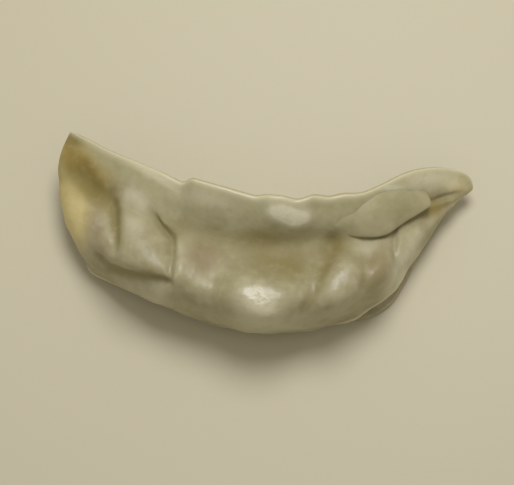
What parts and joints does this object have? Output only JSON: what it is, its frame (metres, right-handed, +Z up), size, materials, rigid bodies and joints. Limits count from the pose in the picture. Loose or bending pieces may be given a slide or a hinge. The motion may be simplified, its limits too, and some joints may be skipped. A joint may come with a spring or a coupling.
{
  "type": "shrimp gyoza",
  "caption": "Boiled shrimp gyoza: a crescent dumpling of thin dough over a lumpy filling, with a pleated crest that runs out into a tab at each end.",
  "frame": {"origin": "middle of the footprint, on the ground that the dumpling lies on", "axes": "+X along the crescent towards the rounded tab, -Y towards the bulging fold, +Y towards the side that the crest leans to, +Z up"},
  "size_m": [0.0882, 0.0414, 0.0226],
  "materials": {
    "dough": "wet, slightly translucent boiled wheat dough, cream to greyish where the filling shows through"
  },
  "bodies": {
    "root": {"gyoza": "dough"}
  },
  "joints": []
}
